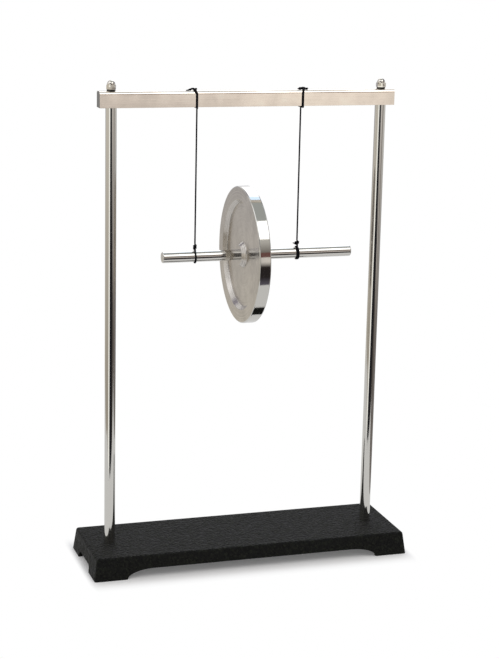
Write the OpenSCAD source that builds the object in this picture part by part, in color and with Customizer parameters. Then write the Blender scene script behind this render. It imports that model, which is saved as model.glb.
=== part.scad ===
// Maxwell wheel: a heavy wheel on an axle, hung by two threads from a stand.
// The threads wind on the axle, so the wheel climbs as it turns.
// Millimetres. X runs along the crossbar, Y is depth, Z is up, the floor is Z = 0.

/* [Base casting] */
// Length of the base at the floor
base_l = 305; // [280:1:360]
// Width of the base at the floor
base_w = 96; // [80:1:130]
// Height of the base
base_h = 21; // [19:0.5:30]
// How far each side leans in between the floor and the top
base_draft = 2.5; // [0.5:0.5:5]
// Radius of the upright corners and of the top edges
base_round = 2.5; // [1:0.5:4]
// Thickness of the side walls
base_wall = 4; // [3:0.5:6]
// Thickness of the top plate
base_plate = 5; // [4:0.5:7]
// Length of a foot along the long sides
foot_l = 31; // [20:1:45]
// Length of a foot along the short ends
foot_w = 27; // [18:1:32]
// Height of the arches in the long sides
side_arch_h = 8.6; // [4:0.2:10]
// Length of the curve at each end of a side arch
side_arch_curve = 25; // [5:1:40]
// Height of the arches in the short ends
end_arch_h = 6.5; // [3:0.5:10]
// Length of the curve at each end of an end arch
end_arch_curve = 5; // [2:0.5:10]
// Diameter of the boss under each post
boss_d = 20; // [16:1:30]
// How far the boss stands below the top plate
boss_h = 3; // [1:0.5:4]

/* [Posts] */
// Diameter of the posts
post_d = 10; // [8:0.5:14]
// Distance from the middle of a post to the end of the base
post_inset = 25; // [18:0.5:30]
// Length of post between the base and the crossbar
post_l = 404; // [360:1:460]
// Diameter of the stud on top of a post
top_stud_d = 5; // [4:0.5:6]
// Diameter of the stud under a post
bottom_stud_d = 6; // [5:0.5:7]
// Chamfer on the ends of the studs
stud_chamfer = 0.5; // [0.2:0.1:0.8]

/* [Crossbar] */
// How far the crossbar runs past the middle of each post
bar_overhang = 11.5; // [8:0.5:30]
// Depth of the crossbar, front to back
bar_w = 12; // [10:0.5:18]
// Height of the crossbar
bar_h = 14.5; // [12:0.5:20]
// Radius of the two long top edges
bar_round = 2; // [0.5:0.5:3]

/* [Fasteners] */
// Width of a cap nut across its flats
cap_nut_af = 8; // [8:0.5:12]
// Height of a cap nut
cap_nut_h = 8; // [7.5:0.5:12]
// Height of a cap nut's hexagon
cap_nut_hex_h = 4; // [3:0.5:5]
// Diameter of the dome where it meets the hexagon
cap_dome_d = 7.4; // [7:0.2:8]
// Depth of the blind hole in a cap nut
cap_bore_depth = 5.5; // [5:0.5:6]
// Outside diameter of a lock washer
lock_washer_d = 7.8; // [7.6:0.2:10]
// Thickness of a lock washer
lock_washer_t = 1.6; // [1:0.2:2.4]
// Width of the split in a lock washer
lock_split = 0.9; // [0.5:0.1:1.5]
// Outside diameter of a base washer
base_washer_d = 12.5; // [11:0.5:16]
// Thickness of a base washer
base_washer_t = 1.6; // [1:0.2:2]
// Width of a base nut across its flats
base_nut_af = 10; // [9:0.5:13]
// Height of a base nut
base_nut_h = 5; // [3.5:0.5:5.5]

/* [Wheel and axle] */
// Diameter of the wheel
wheel_d = 126; // [90:1:130]
// Thickness of the rim and of the hub
wheel_t = 11; // [8:0.5:18]
// Width of the rim face
rim_w = 15.5; // [8:0.5:25]
// Thickness of the web
web_t = 3; // [2:0.5:6]
// Diameter of the hub
hub_d = 24.5; // [18:0.5:36]
// Radius between the web and the rim
rim_fillet = 0.5; // [0.5:0.5:2.5]
// Radius between the web and the hub
hub_fillet = 1; // [0.5:0.5:2]
// Rounding of the rim's outer edges
rim_round = 0.8; // [0.2:0.2:2]
// Rounding of the rim's inner edges
rim_inner_round = 3; // [0.2:0.2:3.4]
// Rounding of the hub's edges
hub_round = 2.4; // [0.2:0.2:3]
// Middle of the wheel, measured from the middle of the stand
wheel_x = -1.3; // [-10:0.1:10]
// Diameter of the axle
axle_d = 10; // [6:0.5:12]
// Axle from the middle of the wheel to its left end
axle_left = 78.5; // [70:0.5:100]
// Axle from the middle of the wheel to its right end
axle_right = 103.5; // [70:0.5:108]
// Rounding of the axle's ends
axle_round = 1; // [0.4:0.2:2]

/* [Threads] */
// Diameter of the thread
thread_d = 1.3; // [0.8:0.1:1.6]
// Distance between the two threads
thread_spacing = 98.4; // [60:0.2:120]
// Middle between the threads, measured from the middle of the stand
thread_shift = 0.4; // [-8:0.1:8]
// Height of the crossbar above the axle, between underside and axle's middle
hang_l = 136.5; // [110:0.5:200]
// Length of the left tie's tail towards the left
left_tie_tail = 10.5; // [9:0.5:14]
// Length of the right tie's tail towards the left
right_tie_tail = 5; // [5:0.5:14]
// Length of the right tie's tail towards the right
short_tail = 6; // [6:0.5:14]
// How far along the bar each tie's turn has run at the front, from its thread
left_tie_slant = -1.5; // [-4:0.1:4]
right_tie_slant = -0.1; // [-4:0.1:4]
// How far along the bar each knot lies from its turn
left_knot_lean = -2.5; // [-3:0.1:1]
right_knot_lean = 0.8; // [-1:0.1:1]

/* [Clearances] */
// Radial room round a stud in the base and in the crossbar
stud_room = 0.2; // [0.1:0.05:0.4]
// Radial room between a nut or washer and its stud
nut_room = 0.05; // [0.02:0.01:0.1]
// Radial room between the wheel's bore and the axle
press_room = 0.02; // [0.01:0.01:0.05]
// Room between a tied thread and what it is tied round
tie_room = 0.1; // [0.05:0.05:0.3]
// Room between two turns of a tie
turn_room = 0.5; // [0.45:0.05:0.8]
// Room between the end of a hanging thread and a tie
thread_room = 0.2; // [0.1:0.05:0.5]

/* [Hidden] */
$fn = 64;
sliver = 0.01;
past = 1;

// Heights from the floor up
plate_under_z = base_h - base_plate;
boss_under_z = plate_under_z - boss_h;
bar_z = base_h + post_l;
bar_top_z = bar_z + bar_h;
axle_z = bar_z - hang_l;

// Places along X
right_post_x = base_l / 2 - post_inset;
left_post_x = -right_post_x;
bar_l = 2 * (right_post_x + bar_overhang);
left_thread_x = thread_shift - thread_spacing / 2;
right_thread_x = thread_shift + thread_spacing / 2;

// Distance from a face to the middle of a thread lying on it, and from turn to turn
thread_seat = thread_d / 2 + tie_room;
lay = thread_d + turn_room;
thread_sides = 6;
axle_loop_r = axle_d / 2 + thread_seat;
// Each thread end meets the next one on a straight piece this long
straight_end = thread_d;
// Heights above the turn round the axle, and radii, of the two knots
left_knot_r = 1.05;
left_knot_turns = 2;
left_neck = 2.4;
right_knot_r = 1.5;
right_knot_turns = 1;
right_neck = 2.8;
// Angle from the top of the axle at which the knot's neck runs into the loop
neck_angle = 45;
// Angle short of the top at which a loop's end leaves the axle, tucked up or left free
tucked_angle = 15;
free_angle = 45;

// A closed tube along a path

function unit(v) = v / norm(v);
function tangents(path) =
    [for (i = [0 : len(path) - 1]) unit(path[min(i + 1, len(path) - 1)] - path[max(i - 1, 0)])];
function square_to(v, t) = unit(v - (v * t) * t);
function first_normal(t) = square_to(abs(t.z) < 0.9 ? [0, 0, 1] : [1, 0, 0], t);
// The ring's own sideways direction, carried along the path without twist
function normals(t) =
    [for (i = 0, n = first_normal(t[0]); i < len(t); i = i + 1, n = i < len(t) ? square_to(n, t[i]) : n) n];

module tube(path) {
    t = tangents(path);
    n = normals(t);
    rings = len(path);
    sides = thread_sides;
    points = [for (i = [0 : rings - 1], k = [0 : sides - 1])
        path[i] + thread_d / 2 * (cos(360 * k / sides) * n[i] + sin(360 * k / sides) * cross(t[i], n[i]))];
    walls = [for (i = [0 : rings - 2], k = [0 : sides - 1], half = [0, 1])
        let (a = i * sides + k, b = i * sides + (k + 1) % sides)
        half == 0 ? [a, a + sides, b] : [b, a + sides, b + sides]];
    last = (rings - 1) * sides;
    caps = [for (k = [1 : sides - 2], end = [0, 1])
        end == 0 ? [0, k, k + 1] : [last, last + k + 1, last + k]];
    polyhedron(points = points, faces = concat(walls, caps));
}

// A smooth curve through a few points, with steps pieces between each pair
function curve(p, steps) =
    [for (i = [0 : len(p) - 2], s = [0 : steps - (i == len(p) - 2 ? 0 : 1)])
        let (a = p[max(i - 1, 0)], b = p[i], c = p[i + 1], d = p[min(i + 2, len(p) - 1)], f = s / steps)
        0.5 * (2 * b + (c - a) * f + (2 * a - 5 * b + 4 * c - d) * f * f
               + (3 * b - a - 3 * c + d) * f * f * f)];

// Length along a path up to each of its points
function lengths(path) =
    [for (i = 0, sum = 0; i < len(path); i = i + 1,
          sum = sum + (i < len(path) ? norm(path[i] - path[i - 1]) : 0)) sum];

// Least room between two stretches of one tube that lie more than three diameters apart along it
function least_gap(path) =
    let (along = lengths(path))
    min([for (i = [0 : len(path) - 1], j = [i + 1 : 1 : len(path) - 1])
        if (along[j] - along[i] > 3 * thread_d) norm(path[i] - path[j])]) - thread_d;

// Base

module corner_dome(r) {
    rotate_extrude($fn = 32)
        intersection() {
            circle(r, $fn = 32);
            square(r);
        }
}

// A block whose sides lean in towards a rounded top
module drafted_block(l, w, h, inset, r) {
    hull()
        for (sx = [-1, 1], sy = [-1, 1]) {
            translate([sx * (l / 2 - r), sy * (w / 2 - r), 0])
                cylinder(h = sliver, r = r, $fn = 32);
            translate([sx * (l / 2 - inset - r), sy * (w / 2 - inset - r), h - r])
                corner_dome(r);
        }
}

// Outline of an arch that stands on the floor, with a quarter ellipse at each end
function arch_outline(span, rise, curve_l) = concat(
    [[-span / 2, -past]],
    [for (a = [0 : 6 : 90]) [-span / 2 + curve_l * (1 - cos(a)), rise * sin(a)]],
    [for (a = [90 : -6 : 0]) [span / 2 - curve_l * (1 - cos(a)), rise * sin(a)]],
    [[span / 2, -past]]);

module arch_cut(span, rise, curve_l, depth) {
    rotate([90, 0, 0])
        linear_extrude(height = depth, center = true)
            polygon(arch_outline(span, rise, curve_l));
}

module base() {
    color("#2a2b2c")
        difference() {
            union() {
                difference() {
                    drafted_block(base_l, base_w, base_h, base_draft, base_round);
                    translate([0, 0, -sliver])
                        drafted_block(base_l - 2 * base_wall, base_w - 2 * base_wall, plate_under_z + sliver,
                                      base_draft * plate_under_z / base_h, base_round);
                }
                for (x = [left_post_x, right_post_x])
                    translate([x, 0, boss_under_z])
                        cylinder(h = boss_h + base_plate / 2, d = boss_d);
            }
            for (x = [left_post_x, right_post_x])
                translate([x, 0, boss_under_z - past])
                    cylinder(h = base_plate + boss_h + 2 * past, d = bottom_stud_d + 2 * stud_room);
            arch_cut(base_l - 2 * foot_l, side_arch_h, side_arch_curve, base_w + 2 * past);
            rotate([0, 0, 90])
                arch_cut(base_w - 2 * foot_w, end_arch_h, end_arch_curve, base_l + 2 * past);
        }
}

// Posts and their fasteners

bottom_stud_z = boss_under_z - base_washer_t - base_nut_h - 2 * stud_chamfer;
top_stud_z = bar_top_z + lock_washer_t + cap_bore_depth - 2 * stud_chamfer;

module post(x) {
    foot_r = bottom_stud_d / 2;
    head_r = top_stud_d / 2;
    color("#c9c8c5")
        translate([x, 0, 0])
            rotate_extrude()
                polygon([[0, bottom_stud_z], [foot_r - stud_chamfer, bottom_stud_z],
                         [foot_r, bottom_stud_z + stud_chamfer], [foot_r, base_h], [post_d / 2, base_h],
                         [post_d / 2, bar_z], [head_r, bar_z], [head_r, top_stud_z - stud_chamfer],
                         [head_r - stud_chamfer, top_stud_z], [0, top_stud_z]]);
}

module left_post() { post(left_post_x); }
module right_post() { post(right_post_x); }

module base_washer(x) {
    color("#b5b4b0")
        translate([x, 0, boss_under_z - base_washer_t])
            difference() {
                cylinder(h = base_washer_t, d = base_washer_d);
                translate([0, 0, -past])
                    cylinder(h = base_washer_t + 2 * past, d = bottom_stud_d + 2 * nut_room);
            }
}

module left_base_washer() { base_washer(left_post_x); }
module right_base_washer() { base_washer(right_post_x); }

// A hexagon whose corners are turned off on top, and on both ends where both is set
module turned_hexagon(af, h, both) {
    corner_r = af / sqrt(3);
    drop = (corner_r - af / 2) * tan(30);
    low = both ? drop : 0;
    intersection() {
        cylinder(h = h, r = corner_r, $fn = 6);
        rotate_extrude()
            polygon([[0, 0], [both ? af / 2 : corner_r + past, 0], [corner_r, low], [corner_r, h - drop],
                     [af / 2, h], [0, h]]);
    }
}

module base_nut(x) {
    color("#b5b4b0")
        translate([x, 0, boss_under_z - base_washer_t - base_nut_h])
            difference() {
                turned_hexagon(base_nut_af, base_nut_h, true);
                translate([0, 0, -past])
                    cylinder(h = base_nut_h + 2 * past, d = bottom_stud_d + 2 * nut_room);
            }
}

module left_base_nut() { base_nut(left_post_x); }
module right_base_nut() { base_nut(right_post_x); }

module lock_washer(x) {
    split_angle = 25;
    color("#4c4b48")
        translate([x, 0, bar_top_z])
            difference() {
                cylinder(h = lock_washer_t, d = lock_washer_d);
                translate([0, 0, -past])
                    cylinder(h = lock_washer_t + 2 * past, d = top_stud_d + 2 * nut_room);
                translate([0, lock_washer_d / 2, lock_washer_t / 2])
                    rotate([0, split_angle, 0])
                        cube([lock_split, lock_washer_d, 4 * lock_washer_t], center = true);
            }
}

module left_lock_washer() { lock_washer(left_post_x); }
module right_lock_washer() { lock_washer(right_post_x); }

module cap_nut(x) {
    dome_h = cap_nut_h - cap_nut_hex_h;
    dome_r = (dome_h * dome_h + cap_dome_d * cap_dome_d / 4) / (2 * dome_h);
    color("#cfcdc8")
        translate([x, 0, bar_top_z + lock_washer_t])
            difference() {
                union() {
                    turned_hexagon(cap_nut_af, cap_nut_hex_h, false);
                    rotate_extrude()
                        intersection() {
                            translate([0, cap_nut_h - dome_r])
                                circle(dome_r);
                            translate([0, cap_nut_hex_h / 2])
                                square([cap_dome_d / 2, cap_nut_h]);
                        }
                }
                translate([0, 0, -past])
                    cylinder(h = cap_bore_depth + past, d = top_stud_d + 2 * nut_room);
            }
}

module left_cap_nut() { cap_nut(left_post_x); }
module right_cap_nut() { cap_nut(right_post_x); }

// Crossbar

module bar_profile() {
    translate([-bar_w / 2, 0])
        square([bar_w, bar_h - bar_round]);
    translate([-bar_w / 2 + bar_round, 0])
        square([bar_w - 2 * bar_round, bar_h]);
    for (side = [-1, 1])
        translate([side * (bar_w / 2 - bar_round), bar_h - bar_round])
            circle(bar_round);
}

module crossbar() {
    color("#c8beae")
        difference() {
            translate([0, 0, bar_z])
                rotate([90, 0, 90])
                    linear_extrude(height = bar_l, center = true)
                        bar_profile();
            for (x = [left_post_x, right_post_x])
                translate([x, 0, bar_z - past])
                    cylinder(h = bar_h + 2 * past, d = top_stud_d + 2 * stud_room);
        }
}

// Wheel and axle, turned about X

module along_x() {
    translate([0, 0, axle_z])
        rotate([0, 90, 0])
            children();
}

module rod_end_profile(r, l, round) {
    square([r - round, l]);
    translate([0, round])
        square([r, l - 2 * round]);
    for (z = [round, l - round])
        translate([r - round, z])
            circle(round);
}

module axle() {
    color("#c9c8c5")
        along_x()
            translate([0, 0, wheel_x - axle_left])
                rotate_extrude()
                    intersection() {
                        rod_end_profile(axle_d / 2, axle_left + axle_right, axle_round);
                        square([axle_d, axle_left + axle_right]);
                    }
}

// The hollow corner between the web and a wall, on both sides of the web
module web_fillet(wall_r, r, inward) {
    for (side = [-1, 1])
        translate([wall_r, side * web_t / 2])
            difference() {
                translate([inward < 0 ? -r : 0, side < 0 ? -r : 0])
                    square(r);
                translate([inward * r, side * r])
                    circle(r);
            }
}

module wheel_profile() {
    bore_r = axle_d / 2 + press_room;
    rim_in = wheel_d / 2 - rim_w;
    recess = (wheel_t - web_t) / 2;
    lip_r = min(rim_inner_round, recess - rim_fillet);
    hub_edge = min(hub_round, recess - hub_fillet);
    translate([bore_r, -wheel_t / 2])
        square([hub_d / 2 - bore_r - hub_edge, wheel_t]);
    translate([bore_r, -wheel_t / 2 + hub_edge])
        square([hub_d / 2 - bore_r, wheel_t - 2 * hub_edge]);
    translate([hub_d / 2 - past, -web_t / 2])
        square([rim_in - hub_d / 2 + 2 * past, web_t]);
    translate([rim_in + lip_r, -wheel_t / 2])
        square([rim_w - lip_r - rim_round, wheel_t]);
    translate([rim_in, -wheel_t / 2 + lip_r])
        square([rim_w / 2, wheel_t - 2 * lip_r]);
    translate([rim_in + rim_w / 2, -wheel_t / 2 + rim_round])
        square([rim_w / 2, wheel_t - 2 * rim_round]);
    for (side = [-1, 1]) {
        translate([hub_d / 2 - hub_edge, side * (wheel_t / 2 - hub_edge)])
            circle(hub_edge);
        translate([rim_in + lip_r, side * (wheel_t / 2 - lip_r)])
            circle(lip_r);
        translate([wheel_d / 2 - rim_round, side * (wheel_t / 2 - rim_round)])
            circle(rim_round);
    }
    web_fillet(rim_in, rim_fillet, -1);
    web_fillet(hub_d / 2, hub_fillet, 1);
}

module wheel() {
    color("#b9b4aa")
        along_x()
            translate([0, 0, wheel_x])
                rotate_extrude()
                    wheel_profile();
}

// Threads and their ties

// Points of an arc in a plane square to X, from one angle to another
function arc(x, y, z, r, from, to, steps) =
    [for (i = [0 : steps]) let (a = from + (to - from) * i / steps) [x, y + r * cos(a), z + r * sin(a)]];

// One turn round the crossbar, with both ends knotted over each other near the front of its top.
// Counted from the middle of the bar's underside, where the thread hangs; the knot's places are in turns
// of the thread. Without a tail to the right, that end is tucked under the knot.
function bar_tie_path(slant, lean, left_tail, right_tail) =
    let (half = bar_w / 2, flat = half - bar_round, top = bar_h + thread_seat,
         round = bar_round + thread_seat, tail_y = -0.8 * flat,
         free = [[right_tail, -1.7 * lay, top], [right_tail - straight_end, -1.7 * lay, top]],
         tucked = [[lean + 0.45 * lay, -0.7 * lay, top], [0.8 * lean + 0.3 * lay, 0, top]],
         under_free = [[lean + 2.0 * lay, -1.7 * lay, top], [lean + 1.1 * lay, -1.45 * lay, top],
                       [lean + 0.5 * lay, -0.7 * lay, top], [0.3 * lean + 0.1 * lay, 0.6 * lay, top],
                       [0, flat, top]],
         under_tucked = [[0.6 * lean + 0.2 * lay, 0.4 * lay, top], [0.2 * lean + 0.05 * lay, 1.2 * lay, top],
                         [0, flat, top]])
    slanted(slant, half, concat(
        right_tail > 0 ? free : tucked,
        curve(right_tail > 0 ? under_free : under_tucked, 3),
        arc(0, flat, bar_h - bar_round, round, 80, 0, 4),
        arc(0, half, 0, thread_seat, 0, -90, 3),
        [[0, 0, -thread_seat]],
        arc(0, -half, 0, thread_seat, -90, -180, 3),
        arc(0, -flat, bar_h - bar_round, round, 180, 130, 3),
        curve([[0.1 * lean, -flat - 0.2 * lay, top + 0.35 * lay],
               [0.5 * lean + 0.2 * lay, -1.5 * lay, top + 1.1 * lay],
               [lean + 0.7 * lay, -0.65 * lay, top + 1.1 * lay], [lean + 0.5 * lay, 0.2 * lay, top + 1.1 * lay],
               [lean - 0.5 * lay, 0.35 * lay, top + 0.95 * lay],
               [lean - 1.3 * lay, -0.25 * lay, top + 0.3 * lay], [lean - 2.0 * lay, -1.2 * lay, top]], 3),
        [[straight_end - left_tail, tail_y, top], [-left_tail, tail_y, top]]));

// A turn whose front half runs along the bar, by slant over half the bar's depth
function slanted(slant, half, path) = [for (p = path) p + [slant * max(0, -p.y / half), 0, 0]];

// Turns round the axle under a knot of small coils, from the hanging end at the top to the tucked end.
// Counted from the middle of the axle.
function axle_tie_path(turns, knot_r, knot_turns, neck, end_angle, tail) =
    let (coil_top = axle_loop_r + neck + knot_turns * lay)
    concat(
        [[0, 0, coil_top + 2.4 * straight_end], [0, 0, coil_top + 1.4 * straight_end]],
        curve([[0, 0, coil_top + 1.1 * straight_end], [0, -0.6 * knot_r, coil_top + 0.4 * straight_end],
               [0, -knot_r, coil_top]], 2),
        [for (i = [1 : 12 * knot_turns]) let (a = 30 * i - 90)
            [knot_r * cos(a), knot_r * sin(a), coil_top - lay * i / 12]],
        [for (a = [neck_angle : 15 : 360 * turns - end_angle])
            [loop_x(turns, a), -axle_loop_r * sin(a), axle_loop_r * cos(a)]],
        tail);

// How far along the axle a loop has come at an angle counted from the top
function loop_x(turns, a) = lay * (a / 360 - turns / 2);
function loop_end_x(turns, end_angle) = loop_x(turns, 360 * turns - end_angle);

// The end of a single turn, tucked up under the knot
function tucked_end(neck) =
    let (x = loop_end_x(1, tucked_angle) / 2, y = lay / 2, top = axle_loop_r + neck - 0.55 * lay)
    [[x, y, top - straight_end], [x, y, top]];

// The end of a double turn, left free behind the knot and pointing to the left
function free_end(turns) =
    curve([[loop_end_x(turns, free_angle), 1.1 * lay, axle_loop_r + 0.2 * lay],
           [0.5 * lay, 1.8 * lay, axle_loop_r + 0.9 * lay],
           [-0.8 * lay, 2.0 * lay, axle_loop_r + 1.3 * lay],
           [-2.4 * lay, 2.0 * lay, axle_loop_r + 1.7 * lay]], 3);

left_bar_tie_path = bar_tie_path(left_tie_slant, left_knot_lean, left_tie_tail, 0);
right_bar_tie_path = bar_tie_path(right_tie_slant, right_knot_lean, right_tie_tail, short_tail);
left_axle_tie_path = axle_tie_path(1, left_knot_r, left_knot_turns, left_neck, tucked_angle,
                                   tucked_end(left_neck));
right_axle_tie_path = axle_tie_path(2, right_knot_r, right_knot_turns, right_neck, free_angle, free_end(2));

echo(least_gap_of_left_bar_tie = least_gap(left_bar_tie_path));
echo(least_gap_of_right_bar_tie = least_gap(right_bar_tie_path));
echo(least_gap_of_left_axle_tie = least_gap(left_axle_tie_path));
echo(least_gap_of_right_axle_tie = least_gap(right_axle_tie_path));

module bar_tie(x, path) {
    color("#17171c")
        translate([x, 0, bar_z])
            tube(path);
}

module axle_tie(x, path) {
    color("#17171c")
        translate([x, 0, axle_z])
            tube(path);
}

// The straight stretch between the turn under the bar and the knot above the axle
module thread(x, tie_path) {
    low = axle_z + tie_path[0].z + thread_room;
    high = bar_z - thread_seat - thread_d / 2 - thread_room;
    color("#2b2a2e")
        translate([x, 0, low])
            cylinder(h = high - low, d = thread_d);
}

module left_bar_tie() { bar_tie(left_thread_x, left_bar_tie_path); }
module right_bar_tie() { bar_tie(right_thread_x, right_bar_tie_path); }
module left_thread() { thread(left_thread_x, left_axle_tie_path); }
module right_thread() { thread(right_thread_x, right_axle_tie_path); }
module left_axle_tie() { axle_tie(left_thread_x, left_axle_tie_path); }
module right_axle_tie() { axle_tie(right_thread_x, right_axle_tie_path); }

base();
left_post();
right_post();
left_base_washer();
right_base_washer();
left_base_nut();
right_base_nut();
crossbar();
left_lock_washer();
right_lock_washer();
left_cap_nut();
right_cap_nut();
left_bar_tie();
right_bar_tie();
left_thread();
right_thread();
axle();
wheel();
left_axle_tie();
right_axle_tie();
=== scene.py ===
"""Dresses a Maxwell wheel and its stand: painted casting, polished steel, turned wheel, twisted threads."""

import math

import bmesh
import bpy
from bpy.props import FloatProperty, FloatVectorProperty, IntProperty, PointerProperty
from mathutils import Matrix, Vector


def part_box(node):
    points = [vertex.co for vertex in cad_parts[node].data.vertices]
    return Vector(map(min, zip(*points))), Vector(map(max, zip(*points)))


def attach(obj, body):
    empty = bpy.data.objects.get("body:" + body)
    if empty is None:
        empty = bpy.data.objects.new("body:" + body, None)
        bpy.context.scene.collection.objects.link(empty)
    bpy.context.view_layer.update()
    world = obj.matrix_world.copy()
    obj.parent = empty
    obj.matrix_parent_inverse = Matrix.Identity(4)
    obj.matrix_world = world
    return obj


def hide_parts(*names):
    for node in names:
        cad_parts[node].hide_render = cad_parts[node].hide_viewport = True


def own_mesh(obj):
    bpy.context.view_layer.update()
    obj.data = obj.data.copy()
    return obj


bl_info = {
    "name": "Maxwell Wheel",
    "version": (1, 0, 0),
    "blender": (4, 5, 0),
    "location": "View3D > Sidebar > Maxwell",
    "description": "Dresses a Maxwell wheel and its stand in paint, steel and thread",
    "category": "Object",
}

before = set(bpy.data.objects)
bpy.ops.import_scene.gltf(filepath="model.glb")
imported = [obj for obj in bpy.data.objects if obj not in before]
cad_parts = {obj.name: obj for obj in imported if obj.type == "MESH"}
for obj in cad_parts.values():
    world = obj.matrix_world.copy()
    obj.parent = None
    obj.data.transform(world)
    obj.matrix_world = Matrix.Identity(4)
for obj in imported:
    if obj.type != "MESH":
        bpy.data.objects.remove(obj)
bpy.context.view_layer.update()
MM = 0.001
X, Y, Z = Vector((1, 0, 0)), Vector((0, 1, 0)), Vector((0, 0, 1))
SIDES = ("left", "right")
# Where each cap nut came to rest when it was tightened
NUT_TURNS = {"left": math.radians(10), "right": math.radians(30)}


def linear(hex_colour):
    """A colour written as sRGB hex, as the linear RGBA that shaders take."""
    parts = [int(hex_colour[i:i + 2], 16) / 255 for i in (1, 3, 5)]
    return (*(c / 12.92 if c <= 0.04045 else ((c + 0.055) / 1.055) ** 2.4 for c in parts), 1.0)


def colour(name, description, hex_colour):
    """A colour that a user can pick."""
    return FloatVectorProperty(name=name, description=description, default=linear(hex_colour), size=4,
                               subtype="COLOR", min=0, max=1)


def length(name, description, millimetres):
    """A length that a user can set, given in millimetres."""
    return FloatProperty(name=name, description=description, default=millimetres * MM, unit="LENGTH",
                         precision=5)


class FinishSettings(bpy.types.PropertyGroup):
    """Colours of the finishes and sizes of the small edges."""

    paint: colour("Paint", "Black enamel on the base", "#060605")
    worn_paint: colour("Worn paint", "Enamel where it is thin, on ridges and edges", "#24261D")
    rod: colour("Rod", "Polished steel of the posts and the axle", "#D2D0CB")
    bar: colour("Bar", "Brushed steel of the crossbar", "#FAF0E4")
    # Also on the crossbar's lower edge breaks, where its darkness is painted shade
    bar_end_and_edge_shade: colour("Bar end", "Sawn ends of the crossbar", "#8E8E8A")
    wheel: colour("Wheel", "Turned faces of the wheel", "#C6C1BB")
    rim: colour("Rim", "Polished rim of the wheel", "#CCCAC5")
    nickel: colour("Nickel", "Plating of the cap nuts", "#D3CEC5")
    spring_steel: colour("Spring steel", "Oiled lock washers", "#4A4845")
    zinc: colour("Zinc", "Plating of the nuts and washers under the base", "#C4C6C4")
    thread: colour("Thread", "Black cotton", "#0A0A10")
    # Paler colour of the strands' crests, against which the grooves show darker as painted shade
    thread_crest_light: colour("Thread high", "Rubbed outside of the cotton's strands", "#141317")
    cast_edge: length("Cast edge", "Rounding of the casting's lower edges", 0.7)
    machined_edge: length("Machined edge", "Break on sawn and turned edges", 0.25)
    bar_round: length("Bar round", "Radius of the crossbar's long top edges", 3)


class WheelSettings(bpy.types.PropertyGroup):
    """Sizes of the wheel's profile and of the axle's ends."""

    rim_width: length("Rim width", "Width of the flat rim face", 15.5)
    web: length("Web", "Thickness of the web", 3)
    hub: length("Hub", "Diameter of the hub", 24.5)
    rim_slope: length("Rim slope", "Width of the slope from the rim face down to the web", 3.2)
    hub_slope: length("Hub slope", "Width of the slope from the hub's face down to the web", 3.4)
    slope_foot: length("Slope foot", "Height of the step where a slope meets the web", 0.5)
    rim_edge: length("Rim edge", "Rounding of the rim's outer edges", 1.1)
    axle_end: length("Axle end", "Rounding of the axle's ends", 1)


class ThreadSettings(bpy.types.PropertyGroup):
    """The thread and its knots."""

    diameter: length("Diameter", "Diameter of the twisted thread", 1.5)
    slack_diameter: length("Slack diameter", "Diameter of the thread where no load draws it thin", 1.8)
    fray: length("Fray", "Length over which the tails thin out", 5)
    twist: length("Twist", "Length in which the strands go round once", 2.4)
    strands: IntProperty(name="Strands", description="Strands twisted into the thread", default=3, min=2)
    left_tail: length("Left tail", "Tail of the left tie, towards the left", 10.5)
    right_tail: length("Right tail", "Tail of the right tie, towards the left", 4.4)
    short_tail: length("Short tail", "Tail of the right tie, towards the right", 4.6)
    left_slant: length("Left slant", "Run of the left tie's turn along the bar at the front", -1.5)
    right_slant: length("Right slant", "Run of the right tie's turn along the bar at the front", -0.1)
    left_lean: length("Left lean", "How far along the bar the left knot lies from its turn", -4)
    right_lean: length("Right lean", "How far along the bar the right knot lies from its turn", 1.8)


class StageSettings(bpy.types.PropertyGroup):
    """Camera, floor and light."""

    azimuth: FloatProperty(name="Azimuth", description="Turn of the camera round the stand",
                           default=math.radians(-17.947), subtype="ANGLE")
    elevation: FloatProperty(name="Elevation", description="Height of the camera above the horizon",
                             default=math.radians(13.263), subtype="ANGLE")
    roll: FloatProperty(name="Roll", description="Lean of the camera", default=math.radians(1.264),
                        subtype="ANGLE")
    lens: FloatProperty(name="Lens", description="Focal length on a 36 mm sensor", default=95.892,
                        subtype="DISTANCE_CAMERA")
    distance: length("Distance", "From the camera to the point it looks at", 1636.9)
    aim: FloatVectorProperty(name="Aim", description="Point that the camera looks at", subtype="XYZ",
                             unit="LENGTH", default=(5.93 * MM, 2.0 * MM, 216.65 * MM))
    floor: colour("Floor", "Paper that the stand is on", "#F3F1EE")
    floor_left: length("Floor left", "How far the paper reaches to the left", 550)
    floor_right: length("Floor right", "How far the paper reaches to the right", 270)
    floor_corner: length("Floor corner", "How much further it reaches right at its front", 180)
    floor_front: length("Floor front", "How far the paper reaches to the front", 320)
    floor_turn: FloatProperty(name="Floor turn", description="Slant of the paper's front edge",
                              default=math.radians(16.7), subtype="ANGLE")
    floor_back: length("Floor back", "How far the paper reaches to the back", 600)
    shadow_reach: length("Shadow reach", "Distance from the base at which the paper is all white", 27)
    floor_glow: FloatProperty(name="Floor glow", description="What brings the open floor up to white",
                              default=0.12, min=0)
    fill: FloatProperty(name="Fill", description="Strength of the even light from all round", default=0.7,
                        min=0)
    room: length("Room", "Distance of the boards that polished metal mirrors", 2000)


# Nodes and materials

def add_node(tree, kind, inputs=None, **settings):
    """One shader node with its settings. An input is a value, or the socket that it is linked from."""
    made = tree.nodes.new(kind)
    for name, value in settings.items():
        setattr(made, name, value)
    for socket, value in (inputs or {}).items():
        if isinstance(value, bpy.types.NodeSocket):
            tree.links.new(value, made.inputs[socket])
        else:
            made.inputs[socket].default_value = value
    return made


def new_material(name, **sockets):
    """A material and its tree, with even values set on the shader itself."""
    material = bpy.data.materials.new(name)
    material.use_nodes = True
    shader = material.node_tree.nodes["Principled BSDF"]
    for socket, value in sockets.items():
        shader.inputs[socket.replace("_", " ")].default_value = value
    return material, material.node_tree


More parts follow.
